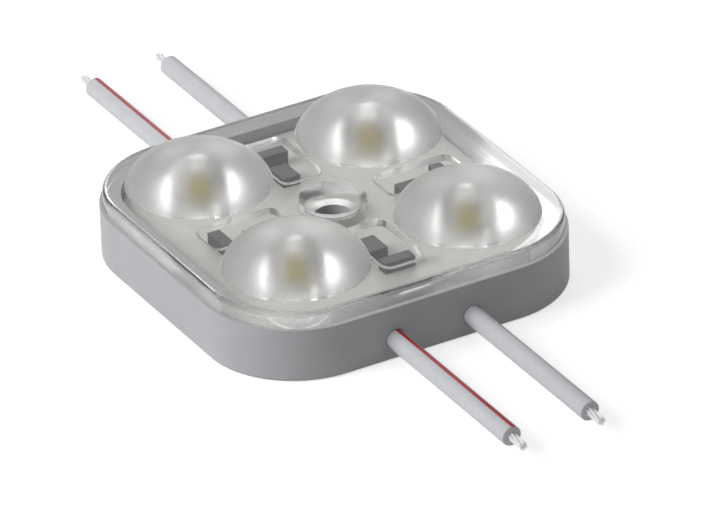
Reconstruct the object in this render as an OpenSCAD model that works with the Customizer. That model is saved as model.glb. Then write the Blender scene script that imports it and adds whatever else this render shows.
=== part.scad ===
// Square light module for sign letters: a grey tray, a white circuit board
// with four surface mounted light emitting diodes, and a clear cover whose
// four domes stand over them. Two leads leave each of two opposite sides.
// X runs along the leads, Y across them, Z up from the underside.

/* [Housing] */
// side length of the square tray
body_w = 36; // [32:1:44]
// radius of the upright corners
corner_r = 9; // [6:0.5:11]
// thickness of the tray wall
wall_t = 2.0; // [1.2:0.1:2.2]
// thickness of the tray floor
floor_t = 0.9; // [0.8:0.05:1.1]
// width of the shelf that carries the board
shelf_w = 1.3; // [0.8:0.1:2]
// round on the lower outside edge of the tray
foot_r = 0.35; // [0.2:0.05:0.5]

/* [Mounting] */
// radius of the screw hole through the module
screw_r = 1.7; // [1.5:0.05:2.1]
// radius of the screw head seat at the top of the cover
head_r = 3.1; // [2.8:0.1:3.6]
// depth of the conical screw head seat
head_depth = 1.35; // [1:0.05:1.4]
// wall thickness of the boss round the screw under the board
boss_t = 1.5; // [1.2:0.1:2]
// wall thickness of the sleeve round the screw above the boss
sleeve_t = 0.8; // [0.7:0.05:0.9]
// side length of the foam pad
pad_w = 25; // [18:0.5:26]
// thickness of the foam pad
pad_t = 0.5; // [0.3:0.05:0.55]
// free space between the pad and the edge of its recess
pad_gap = 0.1; // [0.05:0.05:0.3]

/* [Board] */
// thickness of the board
board_t = 1.0; // [0.8:0.1:1.0]
// free space between board edge and tray wall
board_gap = 0.2; // [0.1:0.05:0.3]
// free space round the sleeve in the board and the cover
sleeve_gap = 0.1; // [0.05:0.05:0.2]

/* [Lights] */
// distance from the side of the tray to the middle of a light
light_inset = 9.1; // [8.5:0.1:10]
// length of a light package
light_l = 3.5; // [3:0.1:3.6]
// width of a light package
light_w = 2.8; // [2.6:0.1:3.2]
// height of a light package
light_h = 0.7; // [0.6:0.05:0.9]
// radius of the glowing cup in a package
cup_r = 1.15; // [0.9:0.05:1.25]
// depth of the glowing cup
cup_depth = 0.35; // [0.25:0.05:0.45]
// free height between a light and the flat underside of the cover
light_over = 0.45; // [0.2:0.05:0.6]

/* [Cover] */
// joint between the tray wall and the cover
seat_gap = 0.05; // [0.03:0.01:0.1]
// thickness of the flat part of the cover
cover_t = 1.5; // [1.4:0.1:2.2]
// how far the cover stays back from the outside of the tray
cover_ledge = 0.3; // [0.15:0.05:0.6]
// round on the upper edge of the cover
edge_r = 0.45; // [0.3:0.05:0.7]
// radius of a dome at its widest place
dome_r = 6.85; // [6:0.05:7.4]
// height of a dome above the flat part
dome_rise = 3.6; // [2.8:0.1:4.4]
// depth of the widest place of a dome under the flat top
dome_sink = 0.6; // [0.4:0.1:1]
// radius of the hollow under a dome
bell_r = 2.2; // [1.9:0.1:2.6]
// height of the hollow under a dome
bell_h = 3.2; // [2.4:0.1:3.5]
// free space between a pocket and the chips, at its end near the screw
pocket_near = 1.6; // [0.8:0.1:1.8]
// free space between a pocket and the chips, at its end near the rim
pocket_far = 1.2; // [0.5:0.1:1.3]
// free space beside the resistors in a pocket
pocket_side = 0.6; // [0.2:0.05:0.7]
// free height over the resistors in a pocket
pocket_over = 0.35; // [0.2:0.05:0.5]
// radius of the pocket corners
pocket_r = 0.9; // [0.6:0.1:1.2]
// free height between the screw tube of the cover and the board
tube_gap = 0.05; // [0.03:0.01:0.1]
// height of the lip under the screw head seat
seat_lip = 0.3; // [0.2:0.05:0.4]

/* [Chips] */
// length of a resistor
res_l = 3.1; // [2.9:0.1:3.3]
// width of a resistor
res_w = 1.2; // [1:0.1:1.4]
// height of a resistor
res_h = 1.5; // [1.4:0.05:1.6]
// distance from the side of the tray to the middle of a resistor
res_inset = 6.45; // [5.8:0.05:6.8]
// length of a current regulator
reg_l = 2.6; // [2.4:0.1:2.8]
// width of a current regulator
reg_w = 1.75; // [1.5:0.05:1.9]
// height of a current regulator
reg_h = 1.35; // [1:0.05:1.4]
// distance from the side of the tray to the middle of a regulator
reg_inset = 10.05; // [9.8:0.05:10.2]
// distance of a regulator from the middle line of its gap
reg_off = 0.5; // [0:0.1:0.6]

/* [Leads] */
// radius of the lead insulation
lead_r = 0.95; // [0.8:0.01:1.1]
// distance of a lead from the middle plane
lead_y = 4.0; // [3.6:0.1:5]
// free space under and over a lead inside the tray
lead_lift = 0.2; // [0.17:0.01:0.3]
// length of insulation outside the tray
lead_free = 20.2; // [12:0.2:30]
// length of bare metal beyond the insulation
bare_l = 2.0; // [1:0.1:4]
// radius of the metal inside a lead
core_r = 0.36; // [0.3:0.01:0.4]
// thickness of the tin on the bare end
tin_t = 0.06; // [0.05:0.01:0.1]
// length of insulation inside the tray wall
lead_inside = 7.9; // [7:0.1:8.6]
// distance from the inner end of the insulation to the middle of the solder
solder_in = 2.0; // [1.6:0.1:2.4]
// radius of the solder on the board
solder_r = 1.35; // [1.1:0.05:1.5]
// how far the metal runs past the middle of the solder
core_past = 1.0; // [0.5:0.1:1.2]
// width of the coloured stripe
stripe_w = 0.44; // [0.3:0.02:0.6]
// depth of the coloured stripe
stripe_d = 0.12; // [0.08:0.01:0.16]
// free space round a lead in its wall hole
hole_gap = 0.06; // [0.04:0.01:0.16]
// length of the seal block behind the wall
seal_l = 2.2; // [1.6:0.1:2.4]
// width of the seal block
seal_w = 3.2; // [2.6:0.1:3.6]
// free space beside the seal block in the shelf
seal_gap = 0.05; // [0.02:0.01:0.1]
// distance of the seal face behind the outside of the wall
seal_back = 0.6; // [0.3:0.1:1.2]

/* [Hidden] */
$fn = 64;

half = body_w / 2;
pad_r = 2;
inner_half = half - wall_t;
inner_r = corner_r - wall_t;
shelf_half = inner_half - shelf_w;
shelf_r = inner_r - shelf_w;
board_half = inner_half - board_gap;
board_r = inner_r - board_gap;
lead_z = floor_t + lead_lift + lead_r;
board_z = lead_z + lead_r + lead_lift;
board_top = board_z + board_t;
boss_r = screw_r + boss_t;
sleeve_r = screw_r + sleeve_t;
sleeve_bore = sleeve_r + sleeve_gap;
cover_half = half - cover_ledge;
cover_r = corner_r - cover_ledge;
cover_z = board_top + light_h + light_over;
wall_h = cover_z - seat_gap;
cover_top = cover_z + cover_t;
light_at = half - light_inset;
res_at = half - res_inset;
reg_at = half - reg_inset;
seat_z = cover_top - head_depth;
lip_z = seat_z - seat_lip;
dome_z = cover_top - dome_sink;
dome_high = dome_rise + dome_sink;
dome_steps = 22;
bell_steps = 16;
pocket_in = reg_at - reg_l / 2 - pocket_near;
pocket_out = res_at + res_w / 2 + pocket_far;
pocket_w = res_l + 2 * pocket_side;
pocket_l = pocket_out - pocket_in;
pocket_depth = board_top + res_h + pocket_over - cover_z;
pocket_mid = (pocket_out + pocket_in) / 2;
hole_r = lead_r + hole_gap;
lead_in = inner_half - lead_inside;
lead_end = half + lead_free;
solder_at = lead_in - solder_in;
core_in = solder_at - core_past;
solder_low = lead_z - core_r - tin_t - 0.2;
stripe_a = asin(stripe_w / 2 / lead_r);
seal_high = board_z - floor_t - seal_gap;
seal_room = seal_l + seal_gap;
seal_bore = lead_z - floor_t;
over = 0.5;

// Four quarter turns carry one sub-part to the four equal places.
module at_quarter(k) {
    rotate([0, 0, 90 * k])
        children();
}

// Side s is +1 for the front and -1 for the back, w is +1 or -1 across.
module at_side(s, w) {
    rotate([0, 0, s > 0 ? 0 : 180])
        translate([0, s * w * lead_y, lead_z])
            rotate([0, 90, 0])
                children();
}

module rounded_face(h, r) {
    square([2 * (h - r), 2 * h], center = true);
    square([2 * h, 2 * (h - r)], center = true);
    for (x = [-1, 1], y = [-1, 1])
        translate([x * (h - r), y * (h - r)])
            circle(r);
}

module rounded_bar(h, r, high) {
    linear_extrude(high)
        rounded_face(h, r);
}

// Section of a rim: upright outside face, round of radius e on one edge.
module rim_section(wide, high, e, top) {
    lift = top ? 0 : e;
    square([wide - e, high]);
    translate([0, lift])
        square([wide, high - e]);
    translate([wide - e, top ? high - e : e])
        circle(e);
}

// Rounded square slab whose outside edge is rounded above or below.
module soft_slab(h, r, high, e, top) {
    straight = 2 * (h - r);
    translate([-straight / 2, -straight / 2, 0])
        cube([straight, straight, high]);
    for (k = [0:3])
        rotate([0, 0, 90 * k]) {
            translate([h - r, h - r, 0])
                rotate_extrude(angle = 90)
                    rim_section(r, high, e, top);
            translate([h - r, straight / 2, 0])
                rotate([90, 0, 0])
                    linear_extrude(straight)
                        rim_section(r, high, e, top);
        }
}

module pocket(extra) {
    translate([pocket_mid, 0, 0])
        linear_extrude(pocket_depth + extra) {
            square([pocket_l - 2 * pocket_r, pocket_w], center = true);
            square([pocket_l, pocket_w - 2 * pocket_r], center = true);
            for (x = [-1, 1], y = [-1, 1])
                translate([x * (pocket_l / 2 - pocket_r), y * (pocket_w / 2 - pocket_r)])
                    circle(pocket_r);
        }
}

// Half of an upright oval, turned about the upright axis.
module oval_cap(r, high, steps) {
    arc = [for (k = [0:steps]) [r * cos(90 * k / steps), high * sin(90 * k / steps)]];
    rotate_extrude()
        polygon(concat([[0, 0]], arc));
}

module housing() {
    color([0.62, 0.63, 0.65])
    difference() {
        union() {
            difference() {
                soft_slab(half, corner_r, wall_h, foot_r, false);
                translate([0, 0, board_z])
                    rounded_bar(inner_half, inner_r, wall_h);
                translate([0, 0, floor_t])
                    rounded_bar(shelf_half, shelf_r, wall_h);
                for (x = [-1, 1], y = [-1, 1])
                    translate([x * (inner_half - seal_room / 2), y * lead_y, (board_z + floor_t) / 2])
                        cube([seal_room, seal_w + 2 * seal_gap, board_z - floor_t], center = true);
            }
            cylinder(r = boss_r, h = board_z);
            cylinder(r = sleeve_r, h = lip_z - seat_gap);
        }
        translate([0, 0, -over])
            cylinder(r = screw_r, h = cover_top);
        translate([0, 0, -over])
            rounded_bar(pad_w / 2 + pad_gap, pad_r + pad_gap, pad_t + over);
        for (s = [-1, 1], w = [-1, 1])
            at_side(s, w)
                translate([0, 0, inner_half - 0.2])
                    cylinder(r = hole_r, h = wall_t + 0.2 + over);
    }
}

module adhesive_pad() {
    color([0.93, 0.93, 0.90])
    difference() {
        rounded_bar(pad_w / 2, pad_r, pad_t);
        translate([0, 0, -over])
            cylinder(r = head_r, h = pad_t + 2 * over);
    }
}

module circuit_board() {
    color([0.95, 0.95, 0.94])
    translate([0, 0, board_z])
        difference() {
            rounded_bar(board_half, board_r, board_t);
            translate([0, 0, -over])
                cylinder(r = sleeve_bore, h = board_t + 2 * over);
        }
}

module lens_cover() {
    color([0.90, 0.93, 0.95, 0.45])
    difference() {
        union() {
            translate([0, 0, cover_z])
                soft_slab(cover_half, cover_r, cover_t, edge_r, true);
            for (x = [-1, 1], y = [-1, 1])
                translate([x * light_at, y * light_at, dome_z])
                    oval_cap(dome_r, dome_high, dome_steps);
            translate([0, 0, board_top + tube_gap])
                cylinder(r = head_r + 0.1, h = cover_z - board_top);
        }
        for (x = [-1, 1], y = [-1, 1])
            translate([x * light_at, y * light_at, 0]) {
                translate([0, 0, cover_z])
                    oval_cap(bell_r, bell_h, bell_steps);
                translate([0, 0, cover_z - over])
                    cylinder(r = bell_r, h = over);
            }
        for (k = [0:3])
            at_quarter(k)
                translate([0, 0, cover_z - over])
                    pocket(over);
        translate([0, 0, board_z])
            cylinder(r = screw_r, h = cover_top);
        translate([0, 0, board_z])
            cylinder(r = sleeve_bore, h = lip_z - board_z);
        translate([0, 0, seat_z])
            cylinder(r1 = screw_r, r2 = head_r, h = head_depth);
        translate([0, 0, cover_top])
            cylinder(r = head_r, h = over);
    }
}

module led_body(x, y) {
    color([0.96, 0.95, 0.90])
    translate([x * light_at, y * light_at, board_top])
        difference() {
            translate([-light_l / 2, -light_w / 2, 0])
                cube([light_l, light_w, light_h]);
            translate([0, 0, light_h - cup_depth])
                cylinder(r1 = cup_r - 0.15, r2 = cup_r, h = cup_depth);
            translate([0, 0, light_h])
                cylinder(r = cup_r, h = over);
        }
}

module led_phosphor(x, y) {
    color([0.86, 0.80, 0.30])
    translate([x * light_at, y * light_at, board_top + light_h - cup_depth])
        cylinder(r1 = cup_r - 0.15, r2 = cup_r, h = cup_depth);
}

module resistor(k) {
    color([0.20, 0.20, 0.21])
    at_quarter(k)
        translate([res_at - res_w / 2, -res_l / 2, board_top])
            cube([res_w, res_l, res_h]);
}

module regulator(k) {
    aside = k < 2 ? -reg_off : reg_off;
    color([0.15, 0.15, 0.16])
    at_quarter(k)
        translate([reg_at - reg_l / 2, aside - reg_w / 2, board_top])
            cube([reg_l, reg_w, reg_h]);
}

// Wedge over the top of a lead, as long as its insulation.
module stripe_wedge() {
    reach = 2 * lead_r;
    translate([0, 0, lead_in - over])
        linear_extrude(lead_end - lead_in + 2 * over)
            polygon([
                [0, 0],
                [-reach * cos(stripe_a), reach * sin(stripe_a)],
                [-reach * cos(stripe_a), -reach * sin(stripe_a)]
            ]);
}

module stripe_round() {
    difference() {
        translate([0, 0, lead_in])
            cylinder(r = lead_r, h = lead_end - lead_in);
        translate([0, 0, lead_in - over])
            cylinder(r = lead_r - stripe_d, h = lead_end - lead_in + 2 * over);
    }
}

module lead(s, w, striped) {
    color([0.80, 0.80, 0.81])
    at_side(s, w)
        difference() {
            translate([0, 0, lead_in])
                cylinder(r = lead_r, h = lead_end - lead_in);
            translate([0, 0, lead_in - over])
                cylinder(r = core_r, h = lead_end - lead_in + 2 * over);
            if (striped)
                intersection() {
                    stripe_round();
                    stripe_wedge();
                }
        }
}

module stripe(s) {
    color([0.72, 0.10, 0.14])
    at_side(s, -1)
        intersection() {
            stripe_round();
            stripe_wedge();
        }
}

module core(s, w) {
    color([0.82, 0.82, 0.83])
    at_side(s, w)
        union() {
            translate([0, 0, core_in])
                cylinder(r = core_r, h = lead_end - core_in);
            translate([0, 0, lead_end])
                cylinder(r = core_r + tin_t, h = bare_l);
        }
}

module solder(s, w) {
    color([0.70, 0.71, 0.73])
    difference() {
        rotate([0, 0, s > 0 ? 0 : 180])
            translate([solder_at, s * w * lead_y, solder_low])
                cylinder(r1 = solder_r - 0.5, r2 = solder_r, h = board_z - solder_low);
        at_side(s, w)
            translate([0, 0, core_in])
                cylinder(r = core_r, h = 2 * core_past);
    }
}

module seal(s, w) {
    color([0.88, 0.88, 0.86])
    at_side(s, w)
        difference() {
            union() {
                translate([-seal_high + seal_bore, -seal_w / 2, inner_half - seal_l])
                    cube([seal_high, seal_w, seal_l]);
                translate([0, 0, inner_half])
                    cylinder(r = hole_r, h = wall_t - seal_back);
            }
            translate([0, 0, lead_in])
                cylinder(r = lead_r, h = lead_end - lead_in);
        }
}

housing();
adhesive_pad();
circuit_board();
lens_cover();
led_body(1, 1);  // led_body_1
led_body(-1, 1);  // led_body_2
led_body(-1, -1);  // led_body_3
led_body(1, -1);  // led_body_4
led_phosphor(1, 1);  // led_phosphor_1
led_phosphor(-1, 1);  // led_phosphor_2
led_phosphor(-1, -1);  // led_phosphor_3
led_phosphor(1, -1);  // led_phosphor_4
resistor(0);  // resistor_1
resistor(1);  // resistor_2
resistor(2);  // resistor_3
resistor(3);  // resistor_4
regulator(0);  // regulator_1
regulator(1);  // regulator_2
regulator(2);  // regulator_3
regulator(3);  // regulator_4
lead(1, -1, true);  // plus_lead_front
lead(1, 1, false);  // minus_lead_front
lead(-1, -1, true);  // plus_lead_back
lead(-1, 1, false);  // minus_lead_back
stripe(1);  // plus_stripe_front
stripe(-1);  // plus_stripe_back
core(1, -1);  // plus_core_front
core(1, 1);  // minus_core_front
core(-1, -1);  // plus_core_back
core(-1, 1);  // minus_core_back
solder(1, -1);  // plus_solder_front
solder(1, 1);  // minus_solder_front
solder(-1, -1);  // plus_solder_back
solder(-1, 1);  // minus_solder_back
seal(1, -1);  // plus_seal_front
seal(1, 1);  // minus_seal_front
seal(-1, -1);  // plus_seal_back
seal(-1, 1);  // minus_seal_back
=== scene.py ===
import math

import bmesh
import bpy
from mathutils import Matrix, Vector


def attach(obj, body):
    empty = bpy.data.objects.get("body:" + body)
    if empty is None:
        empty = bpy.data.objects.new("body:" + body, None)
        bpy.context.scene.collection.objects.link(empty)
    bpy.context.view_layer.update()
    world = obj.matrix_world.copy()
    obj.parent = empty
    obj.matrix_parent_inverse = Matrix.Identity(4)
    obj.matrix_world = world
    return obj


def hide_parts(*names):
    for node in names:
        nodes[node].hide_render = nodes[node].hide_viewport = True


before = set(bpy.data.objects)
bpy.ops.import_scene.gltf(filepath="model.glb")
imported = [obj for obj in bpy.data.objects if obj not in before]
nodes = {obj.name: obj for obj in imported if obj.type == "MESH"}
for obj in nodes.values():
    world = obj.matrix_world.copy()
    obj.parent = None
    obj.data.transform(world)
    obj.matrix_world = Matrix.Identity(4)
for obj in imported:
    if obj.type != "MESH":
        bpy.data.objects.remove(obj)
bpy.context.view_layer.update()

# ---- Camera ----
# It stands in front of the front leads and to the left of them, well above
# the table, with a long lens, as the photographer's camera did.
azimuth, elevation, roll = math.radians(61.0648), math.radians(29.2432), math.radians(-1.9331)
camera_distance = 0.83843
focal_in_pixels = 9247.6
photo_width, photo_height = 725, 509
middle_in_photo = (333.18, 215.43)

towards_camera = Vector((math.sin(azimuth) * math.cos(elevation),
                         -math.cos(azimuth) * math.cos(elevation), math.sin(elevation)))
look = -towards_camera
right = look.cross(Vector((0, 0, 1))).normalized()
up = right.cross(look)
right, up = (right * math.cos(roll) + up * math.sin(roll),
             up * math.cos(roll) - right * math.sin(roll))
look = (look + right * (photo_width / 2 - middle_in_photo[0]) / focal_in_pixels
        - up * (photo_height / 2 - middle_in_photo[1]) / focal_in_pixels).normalized()
right = (right - look * right.dot(look)).normalized()
up = right.cross(look)

camera_data = bpy.data.cameras.new("camera")
camera_data.sensor_width = 36
camera_data.lens = focal_in_pixels / photo_width * 36
camera_data.clip_start = 0.05
camera_data.clip_end = 20
camera = bpy.data.objects.new("camera", camera_data)
camera.matrix_world = Matrix.Translation(Vector((0, 0, 0.005)) + towards_camera * camera_distance) @ \
    Matrix((right, up, -look)).transposed().to_4x4()
bpy.context.scene.collection.objects.link(camera)
bpy.context.scene.camera = camera
bpy.context.scene.view_settings.view_transform = "Standard"


# ---- Leads ----
# Four short hook-up wires, two out of each end of the tray. Soft vinyl is
# extruded round a bundle of tinned strands, and its ends are cut square.
lead_r, core_r, bare_r = 0.00095, 0.00036, 0.00042
lead_y, lead_z = 0.004, 0.00205
lead_from, wall_at, lead_to, bare_to = 0.0081, 0.018, 0.0382, 0.0402
core_from = 0.0051
lead_places = {"plus_lead_front": (1, -1), "minus_lead_front": (1, 1),
               "plus_lead_back": (-1, -1), "minus_lead_back": (-1, 1)}


def finished_piece(mesh_in_work, name, material, smooth=True):
    bmesh.ops.remove_doubles(mesh_in_work, verts=mesh_in_work.verts, dist=1e-7)
    bmesh.ops.recalc_face_normals(mesh_in_work, faces=mesh_in_work.faces)
    for face in mesh_in_work.faces:
        face.smooth = smooth
    for edge in mesh_in_work.edges:
        if len(edge.link_faces) == 2 and edge.calc_face_angle(0) > 0.7:
            edge.smooth = False
    mesh = bpy.data.meshes.new(name)
    mesh_in_work.to_mesh(mesh)
    mesh_in_work.free()
    mesh.materials.append(material)
    piece = bpy.data.objects.new(name, mesh)
    bpy.context.scene.collection.objects.link(piece)
    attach(piece, "root")
    return piece


def surface(name, colour, roughness, metallic=0.0):
    material = bpy.data.materials.new(name)
    material.use_nodes = True
    shader = material.node_tree.nodes["Principled BSDF"]
    shader.inputs["Base Color"].default_value = (*colour, 1)
    shader.inputs["Roughness"].default_value = roughness
    shader.inputs["Metallic"].default_value = metallic
    return material, shader


def grain(material, scale, detail=4.0, stretch=(1, 1, 1)):
    tree = material.node_tree
    place = tree.nodes.new("ShaderNodeTexCoord")
    mapping = tree.nodes.new("ShaderNodeMapping")
    mapping.inputs["Scale"].default_value = stretch
    noise = tree.nodes.new("ShaderNodeTexNoise")
    noise.inputs["Scale"].default_value = scale
    noise.inputs["Detail"].default_value = detail
    tree.links.new(place.outputs["Object"], mapping.inputs["Vector"])
    tree.links.new(mapping.outputs["Vector"], noise.inputs["Vector"])
    return noise.outputs["Fac"]


def blend_colours(material, shader, factor, dark, light, low=0.3, high=0.7):
    ramp = material.node_tree.nodes.new("ShaderNodeValToRGB")
    ramp.color_ramp.elements[0].position, ramp.color_ramp.elements[0].color = low, (*dark, 1)
    ramp.color_ramp.elements[1].position, ramp.color_ramp.elements[1].color = high, (*light, 1)
    material.node_tree.links.new(factor, ramp.inputs["Fac"])
    material.node_tree.links.new(ramp.outputs["Color"], shader.inputs["Base Color"])


def vary_roughness(material, shader, factor, smooth, rough):
    span = material.node_tree.nodes.new("ShaderNodeMapRange")
    span.inputs["To Min"].default_value = smooth
    span.inputs["To Max"].default_value = rough
    material.node_tree.links.new(factor, span.inputs["Value"])
    material.node_tree.links.new(span.outputs["Result"], shader.inputs["Roughness"])


def relief(material, shader, factor, depth, strength=1.0):
    bump = material.node_tree.nodes.new("ShaderNodeBump")
    bump.inputs["Distance"].default_value = depth
    bump.inputs["Strength"].default_value = strength
    material.node_tree.links.new(factor, bump.inputs["Height"])
    material.node_tree.links.new(bump.outputs["Normal"], shader.inputs["Normal"])


vinyl, vinyl_shader = surface("grey_vinyl", (0.54, 0.55, 0.57), 0.45)
blend_colours(vinyl, vinyl_shader, grain(vinyl, 1300), (0.52, 0.53, 0.55), (0.56, 0.57, 0.59))
vary_roughness(vinyl, vinyl_shader, grain(vinyl, 2500), 0.38, 0.55)
relief(vinyl, vinyl_shader, grain(vinyl, 700, stretch=(0.15, 1, 1)), 0.00002)

stripe_ink, stripe_shader = surface("stripe_ink", (0.46, 0.02, 0.04), 0.4)
blend_colours(stripe_ink, stripe_shader, grain(stripe_ink, 1500, stretch=(0.3, 1, 1)),
              (0.40, 0.015, 0.03), (0.52, 0.025, 0.05))
vary_roughness(stripe_ink, stripe_shader, grain(stripe_ink, 2500), 0.32, 0.5)
relief(stripe_ink, stripe_shader, grain(stripe_ink, 1800), 0.00001)

tinned, tinned_shader = surface("tinned_strands", (0.88, 0.88, 0.89), 0.35, 0.35)
blend_colours(tinned, tinned_shader, grain(tinned, 4000), (0.80, 0.80, 0.81), (0.93, 0.93, 0.94))
vary_roughness(tinned, tinned_shader, grain(tinned, 6000), 0.28, 0.5)
relief(tinned, tinned_shader, grain(tinned, 5000), 0.00001)


def turned_ring(work, side, y, points, angle, start, steps):
    """Turns a closed section, given as (along, radius), about the line of a lead."""
    corners = [work.verts.new((side * along, y + radius * math.sin(start), lead_z + radius * math.cos(start)))
               for along, radius in points]
    edges = [work.edges.new((corners[k], corners[(k + 1) % len(corners)])) for k in range(len(corners))]
    whole = abs(angle - 2 * math.pi) < 1e-6
    ends = [] if whole else [work.faces.new(corners)]
    made = bmesh.ops.spin(work, geom=corners + edges, cent=(0, y, lead_z), axis=(-1, 0, 0), dvec=(0, 0, 0),
                          angle=angle, steps=steps, use_merge=whole, use_duplicate=False)
    if not whole:
        work.faces.new([v for v in made["geom_last"] if isinstance(v, bmesh.types.BMVert)])


for lead_name, (side, across) in lead_places.items():
    y = across * lead_y
    cut = 0.00009
    work = bmesh.new()
    section = [(lead_from, core_r), (lead_from, lead_r), (wall_at, lead_r), (lead_to - cut, lead_r),
               (lead_to - cut * 0.3, lead_r - cut * 0.3), (lead_to, lead_r - cut),
               (lead_to, core_r)]
    turned_ring(work, side, y, section, 2 * math.pi, 0.0, 48)
    insulation = finished_piece(work, lead_name.replace("lead", "insulation"), vinyl)
    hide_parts(lead_name)

    if across < 0:
        half_stripe = math.asin(0.00022 / lead_r)
        stripe_turn = math.radians(13)
        work = bmesh.new()
        section = [(lead_from, lead_r - 0.0001), (lead_from, lead_r + 0.00001),
                   (lead_to - cut, lead_r + 0.00001), (lead_to - cut * 0.2, lead_r - cut * 0.3),
                   (lead_to - cut * 0.2, lead_r - 0.0001)]
        turned_ring(work, side, y, section, 2 * half_stripe, stripe_turn - half_stripe, 8)
        stripe = finished_piece(work, lead_name.replace("lead", "printed_stripe"), stripe_ink)
        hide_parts(lead_name.replace("lead", "stripe"))

    work = bmesh.new()
    strand_r = bare_r / 3
    twist = 2 * math.pi * (bare_to - core_from) / 0.011
    for strand in range(7):
        if strand == 6:
            centre = Vector((side * core_from, y, lead_z))
            reach = core_r / 3
        else:
            turn = strand * math.pi / 3
            centre = Vector((side * core_from, y + 2 * strand_r * math.sin(turn),
                             lead_z + 2 * strand_r * math.cos(turn)))
            reach = strand_r
        ring = bmesh.ops.create_circle(work, cap_ends=True, radius=reach, segments=10,
                                       matrix=Matrix.Translation(centre) @ Matrix.Rotation(math.pi / 2, 4, "Y"))
        faces = list({f for v in ring["verts"] for f in v.link_faces})
        steps = 96
        bmesh.ops.spin(work, geom=ring["verts"] + list({e for f in faces for e in f.edges}) + faces,
                       cent=(0, y, lead_z), axis=(side, 0, 0), dvec=(side * (bare_to - core_from) / steps, 0, 0),
                       angle=twist, steps=steps, use_merge=False, use_duplicate=False)
    core = finished_piece(work, lead_name.replace("lead", "strands"), tinned)
    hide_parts(lead_name.replace("lead", "core"))


# ---- Floor, world and lamps ----
# A plain pale table in a soft, even studio light that comes from the left.
floor_work = bmesh.new()
bmesh.ops.create_grid(floor_work, x_segments=1, y_segments=1, size=3.0,
                      matrix=Matrix.Translation((0, 0, -0.00003)))
floor_mesh = bpy.data.meshes.new("floor")
floor_work.to_mesh(floor_mesh)
floor_work.free()
floor = bpy.data.objects.new("floor", floor_mesh)
bpy.context.scene.collection.objects.link(floor)

table = bpy.data.materials.new("table")
table.use_nodes = True
tree = table.node_tree
tree.nodes.clear()
table_out = tree.nodes.new("ShaderNodeOutputMaterial")
table_paint = tree.nodes.new("ShaderNodeBsdfDiffuse")
table_paint.inputs["Color"].default_value = (0.6, 0.6, 0.6, 1)
table_white = tree.nodes.new("ShaderNodeEmission")
table_white.inputs["Color"].default_value = (1, 1, 1, 1)
table_rays = tree.nodes.new("ShaderNodeLightPath")
table_glossy = tree.nodes.new("ShaderNodeMath")
table_glossy.operation = "MAXIMUM"
table_through = tree.nodes.new("ShaderNodeMath")
table_through.operation = "MAXIMUM"
table_strength = tree.nodes.new("ShaderNodeMath")
table_strength.operation = "MULTIPLY"
table_strength.inputs[1].default_value = 0.66
table_sum = tree.nodes.new("ShaderNodeAddShader")
tree.links.new(table_rays.outputs["Is Camera Ray"], table_glossy.inputs[0])
tree.links.new(table_rays.outputs["Is Glossy Ray"], table_glossy.inputs[1])
tree.links.new(table_glossy.outputs[0], table_through.inputs[0])
tree.links.new(table_rays.outputs["Is Transmission Ray"], table_through.inputs[1])
tree.links.new(table_through.outputs[0], table_strength.inputs[0])
tree.links.new(table_strength.outputs[0], table_white.inputs["Strength"])
tree.links.new(table_paint.outputs[0], table_sum.inputs[0])
tree.links.new(table_white.outputs[0], table_sum.inputs[1])
tree.links.new(table_sum.outputs[0], table_out.inputs["Surface"])
floor_mesh.materials.append(table)

world = bpy.data.worlds.new("studio")
bpy.context.scene.world = world
world.use_nodes = True
tree = world.node_tree
tree.nodes.clear()
sky_out = tree.nodes.new("ShaderNodeOutputWorld")
sky_light = tree.nodes.new("ShaderNodeBackground")
sky_light.inputs["Color"].default_value = (1, 1, 1, 1)
sky_rays = tree.nodes.new("ShaderNodeLightPath")
sky_seen = tree.nodes.new("ShaderNodeMath")
sky_seen.operation = "MAXIMUM"
sky_level = tree.nodes.new("ShaderNodeMapRange")
sky_level.inputs["To Min"].default_value = 0.24
sky_level.inputs["To Max"].default_value = 0.44
tree.links.new(sky_rays.outputs["Is Glossy Ray"], sky_seen.inputs[0])
tree.links.new(sky_rays.outputs["Is Transmission Ray"], sky_seen.inputs[1])
tree.links.new(sky_seen.outputs[0], sky_level.inputs["Value"])
tree.links.new(sky_level.outputs["Result"], sky_light.inputs["Strength"])
tree.links.new(sky_light.outputs[0], sky_out.inputs["Surface"])


def lamp(name, place, size, power):
    data = bpy.data.lights.new(name, "AREA")
    data.shape = "RECTANGLE"
    data.size, data.size_y = size
    data.energy = power
    thing = bpy.data.objects.new(name, data)
    thing.location = place
    thing.rotation_euler = (Vector((0, 0, 0.005)) - Vector(place)).to_track_quat("-Z", "Y").to_euler()
    thing.visible_camera = False
    thing.visible_transmission = thing.visible_glossy = name != "key_lamp"
    bpy.context.scene.collection.objects.link(thing)


lamp("key_lamp", (-0.06, -0.44, 0.31), (0.34, 0.34), 2.7)
lamp("back_lamp_left", (-0.433, 0.332, 0.249), (0.11, 0.22), 0.34)
lamp("back_lamp_right", (-0.519, 0.129, 0.273), (0.12, 0.19), 0.30)
lamp("edge_lamp", (0.377, 0.264, 0.391), (0.05, 0.05), 0.157)


# ---- Tray ----
# Injection moulded from grey plastic with a fine matt grain.
grey, grey_shader = surface("moulded_grey", (0.40, 0.405, 0.42), 0.5)
blend_colours(grey, grey_shader, grain(grey, 350), (0.385, 0.39, 0.405), (0.415, 0.42, 0.435))
vary_roughness(grey, grey_shader, grain(grey, 1200), 0.42, 0.62)
relief(grey, grey_shader, grain(grey, 6000), 0.000012)
nodes["housing"].material_slots[0].material = grey

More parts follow.
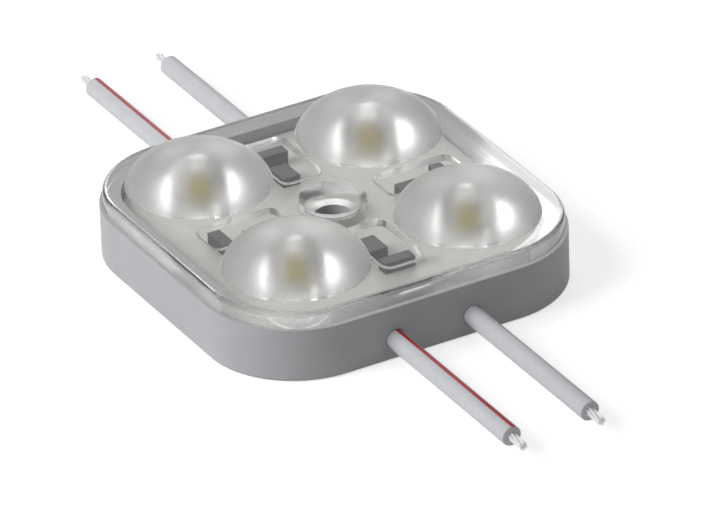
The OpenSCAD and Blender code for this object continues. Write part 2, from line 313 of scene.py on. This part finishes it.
# ---- Foam pad ----
# A die-cut square of white foam tape, let into the underside.
foam, foam_shader = surface("foam_tape", (0.80, 0.80, 0.77), 0.9)
blend_colours(foam, foam_shader, grain(foam, 1800), (0.70, 0.70, 0.67), (0.84, 0.84, 0.81))
vary_roughness(foam, foam_shader, grain(foam, 2500), 0.8, 0.98)
relief(foam, foam_shader, grain(foam, 3500), 0.00006)
nodes["adhesive_pad"].material_slots[0].material = foam

# ---- Circuit board ----
# Fibreglass board with a white solder mask, which carries all the chips.
mask, mask_shader = surface("white_mask", (0.62, 0.62, 0.61), 0.4)
blend_colours(mask, mask_shader, grain(mask, 500), (0.60, 0.60, 0.59), (0.64, 0.64, 0.63))
vary_roughness(mask, mask_shader, grain(mask, 1500), 0.32, 0.5)
relief(mask, mask_shader, grain(mask, 4000), 0.000012)
nodes["circuit_board"].material_slots[0].material = mask

# ---- Lights ----
# Each is a white moulded package whose round cup is filled with yellow phosphor.
package, package_shader = surface("white_package", (0.70, 0.68, 0.60), 0.35)
tree = package.node_tree
package_place = tree.nodes.new("ShaderNodeTexCoord")
package_quarter = tree.nodes.new("ShaderNodeVectorMath")
package_quarter.operation = "ABSOLUTE"
package_flat = tree.nodes.new("ShaderNodeVectorMath")
package_flat.operation = "MULTIPLY"
package_flat.inputs[1].default_value = (1, 1, 0)
from_cup = tree.nodes.new("ShaderNodeVectorMath")
from_cup.operation = "DISTANCE"
from_cup.inputs[1].default_value = (0.0089, 0.0089, 0)
# Round each cup the package is painted darker and yellow. This is painted shade and painted yellow glow,
# standing in for the blurred image of the phosphor seen through the dome.
painted_halo_fade = tree.nodes.new("ShaderNodeMapRange")
painted_halo_fade.inputs["From Min"].default_value = 0.0011
painted_halo_fade.inputs["From Max"].default_value = 0.0022
painted_halo_with_grain = tree.nodes.new("ShaderNodeMath")
painted_halo_with_grain.operation = "MULTIPLY_ADD"
painted_halo_with_grain.inputs[1].default_value = 0.2
tree.links.new(package_place.outputs["Object"], package_quarter.inputs[0])
tree.links.new(package_quarter.outputs[0], package_flat.inputs[0])
tree.links.new(package_flat.outputs[0], from_cup.inputs[0])
tree.links.new(from_cup.outputs["Value"], painted_halo_fade.inputs["Value"])
tree.links.new(grain(package, 1500), painted_halo_with_grain.inputs[0])
tree.links.new(painted_halo_fade.outputs["Result"], painted_halo_with_grain.inputs[2])
blend_colours(package, package_shader, painted_halo_with_grain.outputs[0], (0.25, 0.22, 0.06), (0.72, 0.71, 0.64), 0.1, 1.0)
vary_roughness(package, package_shader, grain(package, 3000), 0.28, 0.42)
relief(package, package_shader, grain(package, 6000), 0.000008)
phosphor, phosphor_shader = surface("phosphor_fill", (0.38, 0.30, 0.02), 0.3)
blend_colours(phosphor, phosphor_shader, grain(phosphor, 3500), (0.34, 0.26, 0.015), (0.42, 0.34, 0.03))
vary_roughness(phosphor, phosphor_shader, grain(phosphor, 3000), 0.22, 0.4)
relief(phosphor, phosphor_shader, grain(phosphor, 5000), 0.00001)
for k in range(1, 5):
    nodes[f"led_body_{k}"].material_slots[0].material = package
    nodes[f"led_phosphor_{k}"].material_slots[0].material = phosphor

# ---- Chips ----
# A resistor and a taller current regulator stand in each gap between two domes.
chip, chip_shader = surface("dark_chip", (0.027, 0.027, 0.03), 0.5)
blend_colours(chip, chip_shader, grain(chip, 2500), (0.02, 0.02, 0.022), (0.034, 0.034, 0.038))
vary_roughness(chip, chip_shader, grain(chip, 3500), 0.42, 0.62)
relief(chip, chip_shader, grain(chip, 9000), 0.00001)
for k in range(1, 5):
    nodes[f"resistor_{k}"].material_slots[0].material = chip
    nodes[f"regulator_{k}"].material_slots[0].material = chip

# ---- Solder and seals ----
# Solder joins each bundle of strands to the underside of the board, and a
# pale silicone plug closes the wall hole round each lead.
solder, solder_shader = surface("solder_joint", (0.66, 0.67, 0.68), 0.3, 1.0)
blend_colours(solder, solder_shader, grain(solder, 2500), (0.55, 0.56, 0.57), (0.72, 0.73, 0.74))
vary_roughness(solder, solder_shader, grain(solder, 3000), 0.2, 0.5)
relief(solder, solder_shader, grain(solder, 1800), 0.00003)
silicone, silicone_shader = surface("pale_silicone", (0.70, 0.70, 0.69), 0.5)
blend_colours(silicone, silicone_shader, grain(silicone, 900), (0.64, 0.64, 0.63), (0.74, 0.74, 0.73))
vary_roughness(silicone, silicone_shader, grain(silicone, 2000), 0.4, 0.6)
relief(silicone, silicone_shader, grain(silicone, 1500), 0.00003)
for lead_name in lead_places:
    nodes[lead_name.replace("lead", "solder")].material_slots[0].material = solder
    nodes[lead_name.replace("lead", "seal")].material_slots[0].material = silicone

# ---- Lens cover ----
# One clear acrylic moulding with four domes, each with a hollow over its light.
# The flat part is polished and the domes are finely frosted.
dome_r = 0.00685
clear, clear_shader = surface("clear_acrylic", (0.985, 0.982, 0.975), 0.03)
clear_shader.inputs["IOR"].default_value = 1.49
tree = clear.node_tree
place = tree.nodes.new("ShaderNodeTexCoord")
folded = tree.nodes.new("ShaderNodeVectorMath")
folded.operation = "ABSOLUTE"
flattened = tree.nodes.new("ShaderNodeVectorMath")
flattened.operation = "MULTIPLY"
flattened.inputs[1].default_value = (1, 1, 0)
from_axis = tree.nodes.new("ShaderNodeVectorMath")
from_axis.operation = "DISTANCE"
from_axis.inputs[1].default_value = (0.0089, 0.0089, 0)
inside_dome = tree.nodes.new("ShaderNodeMapRange")
inside_dome.interpolation_type = "SMOOTHSTEP"
inside_dome.inputs["From Min"].default_value = dome_r - 0.0003
inside_dome.inputs["From Max"].default_value = dome_r + 0.0001
inside_dome.inputs["To Min"].default_value = 1
inside_dome.inputs["To Max"].default_value = 0
height = tree.nodes.new("ShaderNodeSeparateXYZ")
above_flat = tree.nodes.new("ShaderNodeMapRange")
above_flat.interpolation_type = "SMOOTHSTEP"
above_flat.inputs["From Min"].default_value = 0.00683
above_flat.inputs["From Max"].default_value = 0.00690
in_bell = tree.nodes.new("ShaderNodeMapRange")
in_bell.inputs["From Min"].default_value = 0.00225
in_bell.inputs["From Max"].default_value = 0.0023
in_bell.inputs["To Min"].default_value = 0.5
in_bell.inputs["To Max"].default_value = 0
bell_or_above = tree.nodes.new("ShaderNodeMath")
bell_or_above.operation = "MAXIMUM"
frosted = tree.nodes.new("ShaderNodeMath")
frosted.operation = "MULTIPLY"
beside = tree.nodes.new("ShaderNodeSeparateXYZ")
outermost = tree.nodes.new("ShaderNodeMath")
outermost.operation = "MAXIMUM"
on_side = tree.nodes.new("ShaderNodeMapRange")
on_side.interpolation_type = "SMOOTHSTEP"
on_side.inputs["From Min"].default_value = 0.0175
on_side.inputs["From Max"].default_value = 0.01765
on_side.inputs["To Max"].default_value = 0.7
seat_radius = tree.nodes.new("ShaderNodeVectorMath")
seat_radius.operation = "LENGTH"
in_seat = tree.nodes.new("ShaderNodeMapRange")
in_seat.interpolation_type = "SMOOTHSTEP"
in_seat.inputs["From Min"].default_value = 0.00305
in_seat.inputs["From Max"].default_value = 0.0031
in_seat.inputs["To Min"].default_value = 0.9
in_seat.inputs["To Max"].default_value = 0
side_or_seat = tree.nodes.new("ShaderNodeMath")
side_or_seat.operation = "MAXIMUM"
cloudy = tree.nodes.new("ShaderNodeMath")
cloudy.operation = "MULTIPLY_ADD"
cloudy.inputs[1].default_value = 0.08
crossing = tree.nodes.new("ShaderNodeMath")
crossing.operation = "MINIMUM"
in_arm = tree.nodes.new("ShaderNodeMapRange")
in_arm.inputs["From Min"].default_value = 0.0023
in_arm.inputs["From Max"].default_value = 0.0024
in_arm.inputs["To Min"].default_value = 0.55
in_arm.inputs["To Max"].default_value = 0
in_pocket = tree.nodes.new("ShaderNodeMath")
in_pocket.operation = "COMPARE"
in_pocket.inputs[1].default_value = 0.0057
in_pocket.inputs[2].default_value = 0.0003
pocket_wall = tree.nodes.new("ShaderNodeMath")
pocket_wall.operation = "MULTIPLY"
inner_frost = tree.nodes.new("ShaderNodeMath")
inner_frost.operation = "MAXIMUM"
any_frost = tree.nodes.new("ShaderNodeMath")
any_frost.operation = "MAXIMUM"
tree.links.new(folded.outputs[0], beside.inputs[0])
tree.links.new(beside.outputs["X"], outermost.inputs[0])
tree.links.new(beside.outputs["Y"], outermost.inputs[1])
tree.links.new(outermost.outputs[0], on_side.inputs["Value"])
tree.links.new(flattened.outputs[0], seat_radius.inputs[0])
tree.links.new(seat_radius.outputs["Value"], in_seat.inputs["Value"])
tree.links.new(on_side.outputs["Result"], side_or_seat.inputs[0])
tree.links.new(in_seat.outputs["Result"], side_or_seat.inputs[1])
tree.links.new(in_seat.outputs["Result"], cloudy.inputs[0])
tree.links.new(on_side.outputs["Result"], cloudy.inputs[2])
tree.links.new(beside.outputs["X"], crossing.inputs[0])
tree.links.new(beside.outputs["Y"], crossing.inputs[1])
tree.links.new(crossing.outputs[0], in_arm.inputs["Value"])
tree.links.new(beside.outputs["Z"], in_pocket.inputs[0])
tree.links.new(in_arm.outputs["Result"], pocket_wall.inputs[0])
tree.links.new(in_pocket.outputs[0], pocket_wall.inputs[1])
tree.links.new(side_or_seat.outputs[0], inner_frost.inputs[0])
tree.links.new(pocket_wall.outputs[0], inner_frost.inputs[1])
tree.links.new(inner_frost.outputs[0], any_frost.inputs[0])
frost = tree.nodes.new("ShaderNodeMapRange")
frost.inputs["To Min"].default_value = 0.03
frost.inputs["To Max"].default_value = 0.38
fine = tree.nodes.new("ShaderNodeMath")
fine.operation = "MULTIPLY_ADD"
fine.inputs[1].default_value = 0.03
tree.links.new(place.outputs["Object"], folded.inputs[0])
tree.links.new(folded.outputs[0], flattened.inputs[0])
tree.links.new(flattened.outputs[0], from_axis.inputs[0])
tree.links.new(from_axis.outputs["Value"], inside_dome.inputs["Value"])
tree.links.new(place.outputs["Object"], height.inputs[0])
tree.links.new(height.outputs["Z"], above_flat.inputs["Value"])
tree.links.new(inside_dome.outputs["Result"], frosted.inputs[0])
tree.links.new(from_axis.outputs["Value"], in_bell.inputs["Value"])
tree.links.new(in_bell.outputs["Result"], bell_or_above.inputs[0])
tree.links.new(above_flat.outputs["Result"], bell_or_above.inputs[1])
tree.links.new(bell_or_above.outputs[0], frosted.inputs[1])
tree.links.new(frosted.outputs[0], any_frost.inputs[1])
tree.links.new(any_frost.outputs[0], frost.inputs["Value"])
tree.links.new(grain(clear, 900), fine.inputs[0])
tree.links.new(frost.outputs["Result"], fine.inputs[2])
tree.links.new(fine.outputs[0], clear_shader.inputs["Roughness"])
clearness = tree.nodes.new("ShaderNodeMapRange")
clearness.inputs["To Min"].default_value = 0.98
clearness.inputs["To Max"].default_value = 0.92
side_clearness = tree.nodes.new("ShaderNodeMath")
side_clearness.operation = "MULTIPLY_ADD"
side_clearness.inputs[1].default_value = -0.5
tree.links.new(frosted.outputs[0], clearness.inputs["Value"])
tree.links.new(cloudy.outputs[0], side_clearness.inputs[0])
tree.links.new(clearness.outputs["Result"], side_clearness.inputs[2])
tree.links.new(side_clearness.outputs[0], clear_shader.inputs["Transmission Weight"])
# The base colour greys the frosted domes fully and the sides a little. This grey is painted shade, which darkens
# the domes and the board seen through them.
painted_dome_shade = tree.nodes.new("ShaderNodeMath")
painted_dome_shade.operation = "MULTIPLY_ADD"
painted_dome_shade.inputs[1].default_value = 0.27
tree.links.new(frosted.outputs[0], painted_dome_shade.inputs[0])
tree.links.new(on_side.outputs["Result"], painted_dome_shade.inputs[2])
blend_colours(clear, clear_shader, painted_dome_shade.outputs[0], (0.985, 0.985, 0.98), (0.70, 0.70, 0.695), 0.0, 0.7)
rays = tree.nodes.new("ShaderNodeLightPath")
passing = tree.nodes.new("ShaderNodeMath")
passing.operation = "MAXIMUM"
open_way = tree.nodes.new("ShaderNodeBsdfTransparent")
open_way.inputs["Color"].default_value = (0.94, 0.935, 0.925, 1)
let_light_in = tree.nodes.new("ShaderNodeMixShader")
tree.links.new(rays.outputs["Is Shadow Ray"], passing.inputs[0])
tree.links.new(rays.outputs["Is Diffuse Ray"], passing.inputs[1])
tree.links.new(passing.outputs[0], let_light_in.inputs["Fac"])
tree.links.new(clear_shader.outputs[0], let_light_in.inputs[1])
tree.links.new(open_way.outputs[0], let_light_in.inputs[2])
tree.links.new(let_light_in.outputs[0], tree.nodes["Material Output"].inputs["Surface"])
nodes["lens_cover"].material_slots[0].material = clear

bpy.context.view_layer.update()
